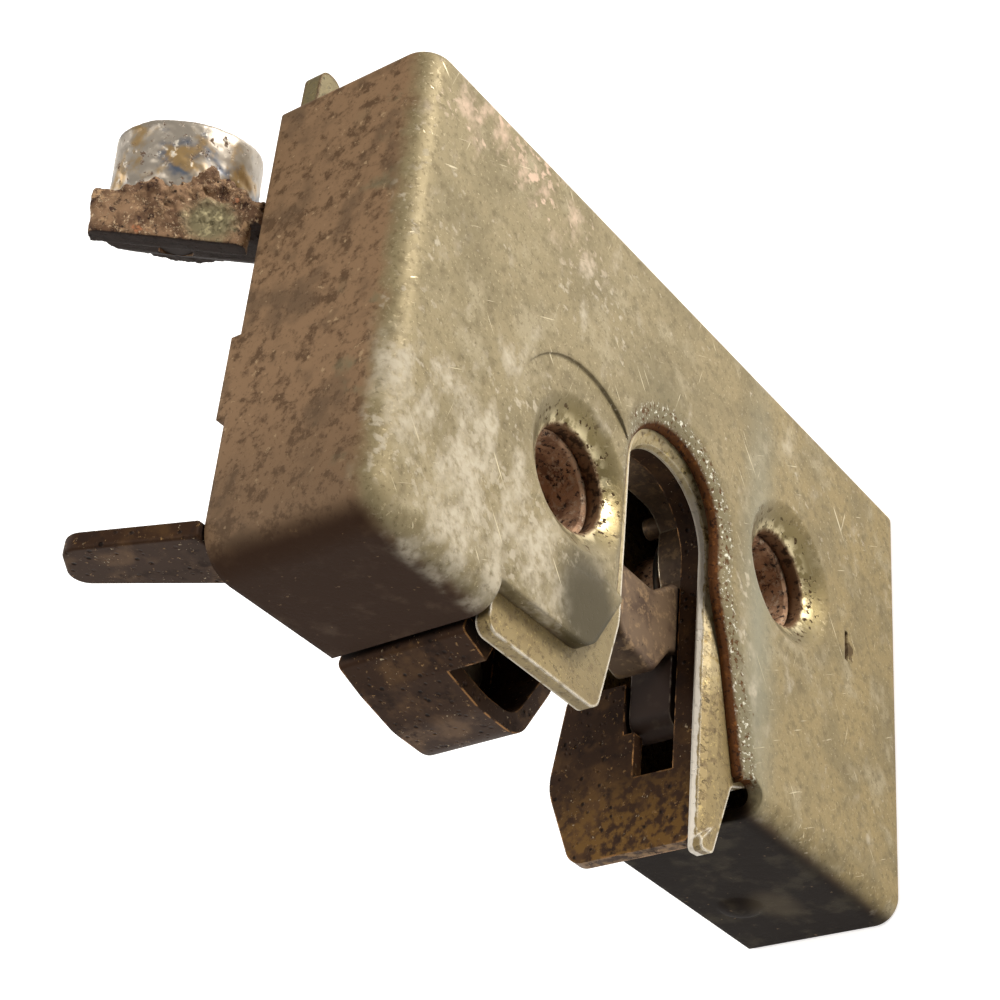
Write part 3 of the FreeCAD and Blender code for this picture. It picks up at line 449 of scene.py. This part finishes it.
def brown_steel():
    """Thin gold plating over pitted brown rust."""
    finish = Finish("pitted_brown_steel", srgb(52, 33, 19), 0.6, 0.25)
    finish.coat(finish.times(finish.spots(0.48, 0.64, 4, 1, 5), 0.8), srgb(88, 63, 38), 0.48, 0.5)
    finish.coat(finish.spots(0.52, 0.66, 2.0, 3, 6, 0.6), srgb(40, 25, 16), 0.75, 0.1)
    flap_corner = finish.near((-28, 10, -8), 5, 5, (1, 0.4, 0.6))
    finish.coat(finish.times(flap_corner, finish.spots(0.42, 0.58, 1.0, 15, 5)), srgb(112, 82, 42), 0.4, 0.6)
    pits = finish.times(finish.step(finish.cells(0.8, 7), 0.36, 0.14), finish.spots(0.38, 0.56, 3, 9, 4))
    finish.coat(pits, srgb(26, 17, 12), 0.8, 0.1, -0.16)
    finish.coat(finish.spots(0.60, 0.68, 0.55, 11, 5, 0.7), srgb(138, 106, 66), 0.4, 0.5, 0.03)
    # painted shade, nearly black deep in the creases
    finish.coat(finish.creases(2.4, 0.75, 0.3), srgb(22, 14, 10), 0.85, 0.05)
    crumbs = finish.times(finish.spots(0.66, 0.70, 0.35, 17, 3), finish.spots(0.45, 0.6, 2.5, 19))
    finish.coat(crumbs, srgb(168, 150, 122), 0.6, 0.1, 0.04)
    worn = finish.times(finish.edges(0.3), finish.spots(0.44, 0.56, 1.3, 13, 5))
    finish.coat(worn, srgb(160, 116, 70), 0.4, 0.6)
    return finish.done(0.2, 0.14)


def crusted_steel():
    """Thick flaking rust with ochre and pale grains."""
    finish = Finish("crusted_steel", srgb(140, 110, 82), 0.8, 0.05)
    finish.coat(finish.spots(0.45, 0.58, 2.0, 1, 6, 0.65), srgb(96, 70, 50), 0.85)
    finish.coat(finish.spots(0.52, 0.62, 1.2, 3, 6, 0.7), srgb(176, 142, 106), 0.75, 0.0, 0.05)
    finish.coat(finish.spots(0.56, 0.63, 0.8, 15, 6, 0.7), srgb(66, 42, 32), 0.85, 0.0, -0.08)
    finish.coat(finish.step(finish.cells(0.7, 5), 0.28, 0.12), srgb(52, 36, 28), 0.9, 0.0, -0.12)
    finish.coat(finish.spots(0.55, 0.62, 0.4, 7, 5, 0.75), srgb(206, 176, 140), 0.6, 0.1, 0.06)
    ember = finish.times(finish.spots(0.60, 0.7, 2.4, 9, 3), finish.spots(0.45, 0.6, 0.6, 11))
    finish.coat(ember, srgb(172, 110, 72), 0.7)
    smooth = finish.near(tuple(on_shelf(-1.6, 6.5, 10.8)), 2.3, 0.9, (1.2, 1, 1))
    finish.coat(smooth, srgb(128, 118, 88), 0.45, 0.35)
    finish.coat(finish.times(smooth, finish.spots(0.50, 0.60, 0.9, 13, 5)), srgb(176, 164, 126), 0.4, 0.5)
    # painted shade on the faces turned down or in at the outside lever
    painted_underside_shade(finish)
    # painted shade, nearly black deep in the creases
    finish.coat(finish.creases(1.2, 0.6, 0.25), srgb(42, 28, 22), 0.9)
    return finish.done(0.15, 0.3)


def fork_steel():
    """Hardened brown-pink steel, burnished on the corners."""
    finish = Finish("burnished_fork_steel", srgb(102, 82, 62), 0.5, 0.3)
    finish.coat(finish.spots(0.45, 0.65, 3.2, 1, 6), srgb(72, 54, 40), 0.55)
    finish.coat(finish.spots(0.50, 0.64, 0.9, 3, 6, 0.7), srgb(140, 114, 84), 0.4, 0.5)
    finish.coat(finish.spots(0.64, 0.7, 0.5, 5, 4), srgb(52, 38, 28), 0.75, 0.2, height=-0.03)
    burnished = finish.times(finish.edges(0.35), finish.spots(0.35, 0.5, 1.2, 7))
    finish.coat(burnished, srgb(186, 172, 146), 0.28, 0.8)
    # painted shade, nearly black deep in the creases
    finish.coat(finish.creases(1.5, 0.6, 0.25), srgb(36, 26, 18), 0.85, 0.1)
    return finish.done(0.2, 0.3)


def bush_steel():
    """Red-brown rust with paler dust on the bore."""
    finish = Finish("rusted_bush_steel", srgb(176, 138, 106), 0.8, 0.0)
    finish.coat(finish.spots(0.44, 0.58, 2.0, 1, 6, 0.6), srgb(124, 90, 64), 0.85)
    finish.coat(finish.spots(0.52, 0.62, 0.9, 3, 6, 0.7), srgb(196, 170, 142), 0.7, height=0.05)
    finish.coat(finish.spots(0.54, 0.62, 0.6, 5, 5, 0.7), srgb(52, 36, 24), 0.9, height=-0.06)
    return finish.done(0.15)


def pad_metal():
    """Blue-grey zinc with gold stains and a few scabs."""
    finish = Finish("blue_grey_zinc", srgb(172, 162, 148), 0.36, 0.6)
    finish.coat(finish.spots(0.50, 0.60, 4.5, 1, 4), srgb(94, 102, 116), 0.42)
    finish.coat(finish.spots(0.48, 0.62, 3.0, 3, 5), srgb(176, 146, 100), 0.36, 0.65)
    finish.coat(finish.spots(0.58, 0.68, 1.2, 5, 5, 0.65), srgb(214, 206, 190), 0.55, 0.2, height=0.03)
    finish.coat(finish.spots(0.58, 0.66, 0.8, 7, 5, 0.7), srgb(96, 68, 44), 0.75, 0.15, height=-0.05)
    worn = finish.times(finish.edges(0.3), finish.spots(0.4, 0.55, 1.4, 9))
    finish.coat(worn, srgb(186, 182, 168), 0.34, 0.8)
    finish.coat(finish.creases(1.4, 0.6, 0.3), srgb(84, 62, 42), 0.85, 0.05)
    # painted shade on the faces turned down or in at the outside lever
    painted_underside_shade(finish)
    return finish.done(0.2)


def pin_steel():
    """Grey-brown turned steel."""
    finish = Finish("aged_pin_steel", srgb(118, 106, 86), 0.42, 0.65)
    finish.coat(finish.spots(0.45, 0.65, 1.8, 1, 5), srgb(90, 72, 54), 0.55, 0.5)
    finish.coat(finish.spots(0.58, 0.7, 0.5, 3, 5, 0.7), srgb(62, 42, 28), 0.8, 0.15, height=-0.02)
    finish.coat(finish.edges(0.25), srgb(168, 156, 134), 0.32, 0.85)
    # painted shade on the faces turned down or in at the outside lever
    painted_underside_shade(finish)
    return finish.done(0.2)


def spring_steel():
    """Dark drawn wire with rust freckles."""
    finish = Finish("dark_spring_steel", srgb(84, 80, 74), 0.38, 0.85)
    finish.coat(finish.spots(0.48, 0.66, 1.4, 1, 5), srgb(84, 60, 42), 0.65, 0.4)
    finish.coat(finish.spots(0.6, 0.7, 0.4, 3, 4, 0.7), srgb(120, 84, 54), 0.8, 0.1, height=0.01)
    return finish.done(0.1)


def nose_plastic():
    """Dark brown moulded plastic, scuffed."""
    finish = Finish("scuffed_nose_plastic", srgb(52, 36, 27), 0.6, 0.0)
    finish.coat(finish.spots(0.5, 0.7, 1.6, 1, 5), srgb(72, 58, 46), 0.6)
    finish.coat(finish.times(finish.edges(0.3), finish.spots(0.4, 0.6, 0.9, 3)), srgb(126, 112, 96), 0.5)
    return finish.done(0.2, 0.25)


MATERIALS = {
    "olive_zinc": olive_zinc(), "yellow_zinc": yellow_zinc(), "brown_steel": brown_steel(),
    "crusted_steel": crusted_steel(), "fork_steel": fork_steel(), "bush_steel": bush_steel(),
    "pad_metal": pad_metal(), "pin_steel": pin_steel(), "spring_steel": spring_steel(),
    "nose_plastic": nose_plastic(),
}


def dress_cad_nodes():
    """Gives every CAD node the finish of its material slot."""
    for node in frame["nodes"].values():
        for slot in node.material_slots:
            slot.material = MATERIALS[slot.material.name]


dress_cad_nodes()


# ---- new pieces ----------------------------------------------------------------------------------
SLOT_OF = {part["node"]: part["material_slot"] for part in frame["record"]["subparts"]}


def stand_for(node, name, data):
    """Shows this mesh or curve instead of a CAD node, on the node's body and in its finish."""
    data.materials.clear()
    data.materials.append(MATERIALS[SLOT_OF[node]])
    thing = bpy.data.objects.new(name, data)
    bpy.context.scene.collection.objects.link(thing)
    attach(thing, body_of(node))
    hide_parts(node)
    return thing


def welded(node):
    """A CAD node's shape as one connected bmesh."""
    shape = bmesh.new()
    shape.from_mesh(frame["nodes"][node].data)
    bmesh.ops.remove_doubles(shape, verts=shape.verts, dist=0.002 * MM)
    return shape


def finished(shape, name):
    """A smooth-shaded mesh made from a bmesh."""
    mesh = bpy.data.meshes.new(name)
    shape.to_mesh(mesh)
    shape.free()
    mesh.polygons.foreach_set("use_smooth", [True] * len(mesh.polygons))
    return mesh


def remeshed(shape, voxel):
    """The bmesh's outer skin, in even faces."""
    source = bpy.data.objects.new("to_remesh", finished(shape, "to_remesh"))
    bpy.context.scene.collection.objects.link(source)
    skin = source.modifiers.new("skin", "REMESH")
    skin.mode, skin.voxel_size = "VOXEL", voxel * MM
    mesh = bpy.data.meshes.new_from_object(source.evaluated_get(bpy.context.evaluated_depsgraph_get()))
    bpy.data.objects.remove(source)
    result = bmesh.new()
    result.from_mesh(mesh)
    result.normal_update()
    return result


def lumpy(point, size, seed):
    """Fractal noise from -1 to 1 at a point in millimetres."""
    return noise.fractal(point / size + Vector((seed, 0, 0)), 0.6, 2.1, 4)


def roughen(shape, height_at):
    """Moves each vertex along its normal by height_at(place), all in millimetres."""
    moves = [vertex.normal * height_at(vertex.co * PER_METRE) * MM for vertex in shape.verts]
    for vertex, move in zip(shape.verts, moves):
        vertex.co += move


def lump(shape, chance, centre, radius):
    """A squashed ball of rust, to be merged into the skin."""
    squash = Matrix.Diagonal([chance.uniform(0.7, 1.25) for _ in range(3)]).to_4x4()
    place = Matrix.Translation(centre * MM) @ squash
    bmesh.ops.create_icosphere(shape, subdivisions=2, radius=radius * MM, matrix=place)


def bank(along):
    """How far the rust stands up against the pad."""
    return 0.25 + 2.9 * math.exp(-((along - 11.0) / 2.7) ** 2) + 1.2 * math.exp(-((along - 16.4) / 1.4) ** 2)


def crusted_lever():
    """The outside lever with its shelf grown over by rust, which is banked up against the pad."""
    chance = random.Random(11)
    shape = welded("outside_lever")
    for _ in range(60):
        along = 6.0 + 13.0 * chance.random() ** 1.3
        lump(shape, chance, on_shelf(chance.uniform(-1.2, 1.0), 6.25, along), chance.uniform(0.25, 0.6))
    for _ in range(110):
        along = 6.0 + 13.0 * chance.random() ** 1.2
        gap = math.sqrt(max(0.0, PAD_RADIUS ** 2 - (along - PAD_CENTRE[1]) ** 2))
        up = min(6.0, max(PAD_CENTRE[0] + gap + 0.25, 4.4))
        place = on_shelf(0.5 + chance.random() * bank(along), up, along)
        lump(shape, chance, place, chance.uniform(0.4, 0.95))
    shape = remeshed(shape, 0.26)

    def height(point):
        out, up, along = shelf_place(point)
        share = min(1.0, max(0.0, (along - 3.5) / 2.5)) * min(1.0, max(0.3, (19.5 - along) / 4))
        flat = lumpy(point, 0.5, 3) * 0.03 - 0.03
        crust = lumpy(point, 2.0, 5) * 0.30 + lumpy(point, 0.7, 9) * 0.20 + 0.05
        high = min(1.0, max(0.15, (out + 3.4) / 1.6))
        return flat + share * high * crust if up > 2.5 else flat

    roughen(shape, height)
    for vertex in shape.verts:
        out, up, along = shelf_place(vertex.co * PER_METRE)
        thinned = -1.5 + 0.4 * (-1.6 - up)
        if along > 5 and up < -1.6 and out < thinned:
            vertex.co += OUT * (thinned - out) * MM
    return stand_for("outside_lever", "crusted_outside_lever", finished(shape, "crusted_outside_lever"))


def weathered_pad():
    """The contact pad with a dented rim and a rust-bitten foot."""
    shape = remeshed(welded("contact_pad"), 0.22)

    def height(point):
        out = shelf_place(point)[0]
        foot = min(1.0, max(0.0, (3.4 - out) / 2.4))
        return lumpy(point, 3.0, 2) * 0.10 + (lumpy(point, 0.9, 7) * 0.20 - 0.05) * foot - 0.05

    roughen(shape, height)
    return stand_for("contact_pad", "weathered_contact_pad", finished(shape, "weathered_contact_pad"))


def ring(shape, centre, axis, side, radius_at, segments=72):
    """A closed ring of vertices in the plane square to axis; radius_at(turn) gives its radius."""
    other = axis.cross(side)
    places = []
    for index in range(segments):
        turn = 2 * math.pi * index / segments
        places.append(centre + (side * math.cos(turn) + other * math.sin(turn)) * radius_at(index / segments))
    return [shape.verts.new(place * MM) for place in places]


def lathe(shape, centre, profile, axis=Vector((0, 1, 0)), side=Vector((1, 0, 0)), segments=72):
    """Adds a turned solid. Each step of profile is (radius, distance), and a thread adds (depth, pitch)."""
    rings = []
    for radius, distance, *thread in profile:
        def radius_at(turn):
            if not thread:
                return radius
            depth, pitch = thread
            phase = (distance / pitch + turn) % 1
            return radius + depth * (1 - abs(2 * phase - 1))
        rings.append(ring(shape, centre + axis * distance, axis, side, radius_at, segments))
    for first, second in zip(rings, rings[1:]):
        for index in range(segments):
            following = (index + 1) % segments
            shape.faces.new((first[index], first[following], second[following], second[index]))
    return rings


def closed_ends(shape, rings):
    shape.faces.new(list(reversed(rings[0])))
    shape.faces.new(rings[-1])


def dome(radius, base, height, steps=6, direction=1):
    """Profile of a low dome that starts at its widest."""
    angles = [math.pi / 2 * step / steps for step in range(steps)] + [math.pi / 2 * 0.97]
    return [(radius * math.cos(angle), base + direction * height * math.sin(angle)) for angle in angles]


def sharpened(mesh, angle=40):
    mesh.set_sharp_from_angle(angle=math.radians(angle))
    return mesh


def threaded_bush(node):
    """Bush with a real M8 thread in its bore and a chamfered, peened rear edge."""
    low, high = mm_box(node)
    centre = Vector(((low.x + high.x) / 2, 0, (low.z + high.z) / 2))
    front, back, plate, shoulder = low.y, high.y, PLATE_FRONT, 9.3
    pitch, step = 1.25, 0.125
    count = int((back - 0.45 - shoulder - 0.5) / step)
    thread = [(3.4, shoulder + 0.5 + index * step, 0.62, pitch) for index in range(count + 1)]
    profile = [(6.0, front + 0.4), (5.6, front), (4.95, front), (4.7, front + 0.25), (4.7, shoulder - 0.3),
               (4.4, shoulder), (4.1, shoulder), *thread, (3.95, back), (5.2, back), (5.6, back - 0.3),
               (5.6, PLATE_REAR), (5.0, PLATE_REAR), (5.0, plate), (6.0, plate), (6.0, front + 0.4)]
    shape = bmesh.new()
    lathe(shape, centre, profile)
    bmesh.ops.remove_doubles(shape, verts=shape.verts, dist=0.001 * MM)
    bmesh.ops.recalc_face_normals(shape, faces=shape.faces)
    return stand_for(node, "threaded_" + node, sharpened(finished(shape, "threaded_" + node)))


def domed_rivets():
    """The seven rivets of the back plate, with domed tails."""
    shape = bmesh.new()
    feet = [(22.4, 6.6), (31.6, 5.2), (57.0, 5.6), (9.2, 11.0), (15.0, 11.0)]
    strap = [(57.5, 29.4), (57.5, 46.2)]
    ends = [(place, 14.4, PLATE_REAR) for place in feet] + [(place, PLATE_FRONT, 19.25) for place in strap]
    for (down, across), inner, outer in ends:
        centre = Vector((across - MOUTH_ACROSS, 0, MOUTH_DOWN - down))
        head = [(radius, distance) for radius, distance in reversed(dome(2.3, inner, 0.7, direction=-1))]
        shank = [(1.4, inner), (1.4, outer)]
        rings = lathe(shape, centre, head + shank + dome(2.4, outer, 0.82), segments=40)
        closed_ends(shape, rings)
    bmesh.ops.recalc_face_normals(shape, faces=shape.faces)
    return stand_for("plate_rivets", "domed_plate_rivets", sharpened(finished(shape, "domed_plate_rivets")))


def pad_rivet():
    """Rivet through the pad, its head sunk in the pad's recess."""
    shape = bmesh.new()
    centre = on_shelf(0, PAD_CENTRE[0], PAD_CENTRE[1])
    head = dome(3.2, 8.1, 0.75)
    rings = lathe(shape, centre, [(1.6, -0.9), (1.6, 8.1)] + head, axis=OUT, side=ALONG, segments=48)
    closed_ends(shape, rings)
    bmesh.ops.recalc_face_normals(shape, faces=shape.faces)
    return stand_for("pad_rivet", "domed_pad_rivet", sharpened(finished(shape, "domed_pad_rivet")))


def lever_spring():
    """Wound wire of the outside lever's return spring."""
    axis = mm_centre("outside_lever_pivot")
    near, far, radius, wire = 21.2, 22.3, 3.9, 0.45
    points = [(14.5, 18.9, 28.6), (14.5, 20.6, 28.6), (14.9, near, 28.5), (17.5, near, 28.0)]
    for step in range(31):
        share = step / 30
        turn = math.radians(90 - 450 * share)
        around = Vector((math.cos(turn), 0, math.sin(turn))) * radius
        points.append((axis.x + around.x, near + (far - near) * share, axis.z + around.z))
    points += [(25.4, far, 19.0), (24.5, far, 14.8), (24.2, far - 0.4, 14.1), (24.2, 20.0, 14.0),
               (24.2, 17.0, 14.0)]
    curve = bpy.data.curves.new("outside_lever_wire", "CURVE")
    curve.dimensions, curve.bevel_depth, curve.bevel_resolution = "3D", wire * MM, 4
    curve.use_fill_caps = True
    spline = curve.splines.new("NURBS")
    spline.points.add(len(points) - 1)
    for target, point in zip(spline.points, points):
        target.co = (*(Vector(point) * MM), 1)
    spline.order_u, spline.use_endpoint_u, spline.resolution_u = 3, True, 6
    return stand_for("outside_lever_spring", "outside_lever_wire_spring", curve)


crusted_lever()
weathered_pad()
threaded_bush("upper_bush")
threaded_bush("lower_bush")
domed_rivets()
pad_rivet()
lever_spring()


# ---- floor, lights and camera --------------------------------------------------------------------
def floor():
    """A wide pale floor just under the object."""
    bottom = cad_box[0].z
    half = 12.0
    mesh = bpy.data.meshes.new("floor")
    corners = [(-half, -half, bottom), (half, -half, bottom), (half, half, bottom), (-half, half, bottom)]
    mesh.from_pydata(corners, [], [(0, 1, 2, 3)])
    finish = Finish("pale_floor", srgb(240, 240, 238), 0.9, 0.0)
    finish.coat(finish.spots(0.3, 0.7, 60, 1, 3), srgb(236, 236, 235))
    finish.shader.inputs["Emission Color"].default_value = (1, 1, 1, 1)
    finish.shader.inputs["Emission Strength"].default_value = FLOOR_GLOW
    mesh.materials.append(finish.done())
    thing = bpy.data.objects.new("floor", mesh)
    bpy.context.scene.collection.objects.link(thing)


def aim(thing, back):
    """Points a camera's or lamp's -Z against `back`."""
    thing.rotation_mode = "QUATERNION"
    thing.rotation_quaternion = (-back).to_track_quat("-Z", "Y")


def lamp(name, direction, distance, size, power, colour):
    centre = (cad_box[0] + cad_box[1]) / 2
    back = Vector(direction).normalized()
    light = bpy.data.lights.new(name, "AREA")
    light.shape, light.size, light.energy, light.color = "DISK", size, power, colour
    thing = bpy.data.objects.new(name, light)
    thing.location = centre + back * distance
    aim(thing, back)
    bpy.context.scene.collection.objects.link(thing)


def world():
    world = bpy.data.worlds.new("studio")
    world.use_nodes = True
    background = world.node_tree.nodes["Background"]
    background.inputs["Color"].default_value = (1.0, 0.985, 0.96, 1.0)
    background.inputs["Strength"].default_value = WORLD_STRENGTH
    bpy.context.scene.world = world


def camera():
    centre = (cad_box[0] + cad_box[1]) / 2
    turn, rise = math.radians(CAMERA_AZIMUTH), math.radians(CAMERA_ELEVATION)
    back = Vector((math.sin(turn) * math.cos(rise), -math.cos(turn) * math.cos(rise), math.sin(rise)))
    data = bpy.data.cameras.new("camera")
    data.lens = CAMERA_LENS
    thing = bpy.data.objects.new("camera", data)
    thing.location = centre + AIM_FROM_CENTRE + back * CAMERA_DISTANCE
    aim(thing, back)
    thing.rotation_quaternion @= Matrix.Rotation(math.radians(CAMERA_ROLL), 3, "Z").to_quaternion()
    data.clip_start, data.clip_end = 0.01, 40.0
    bpy.context.scene.collection.objects.link(thing)
    bpy.context.scene.camera = thing


floor()
world()
lamp("key", *KEY_LIGHT)
lamp("top", *TOP_LIGHT)
lamp("rear", *REAR_LIGHT)
camera()
bpy.context.scene.view_settings.view_transform = "Standard"
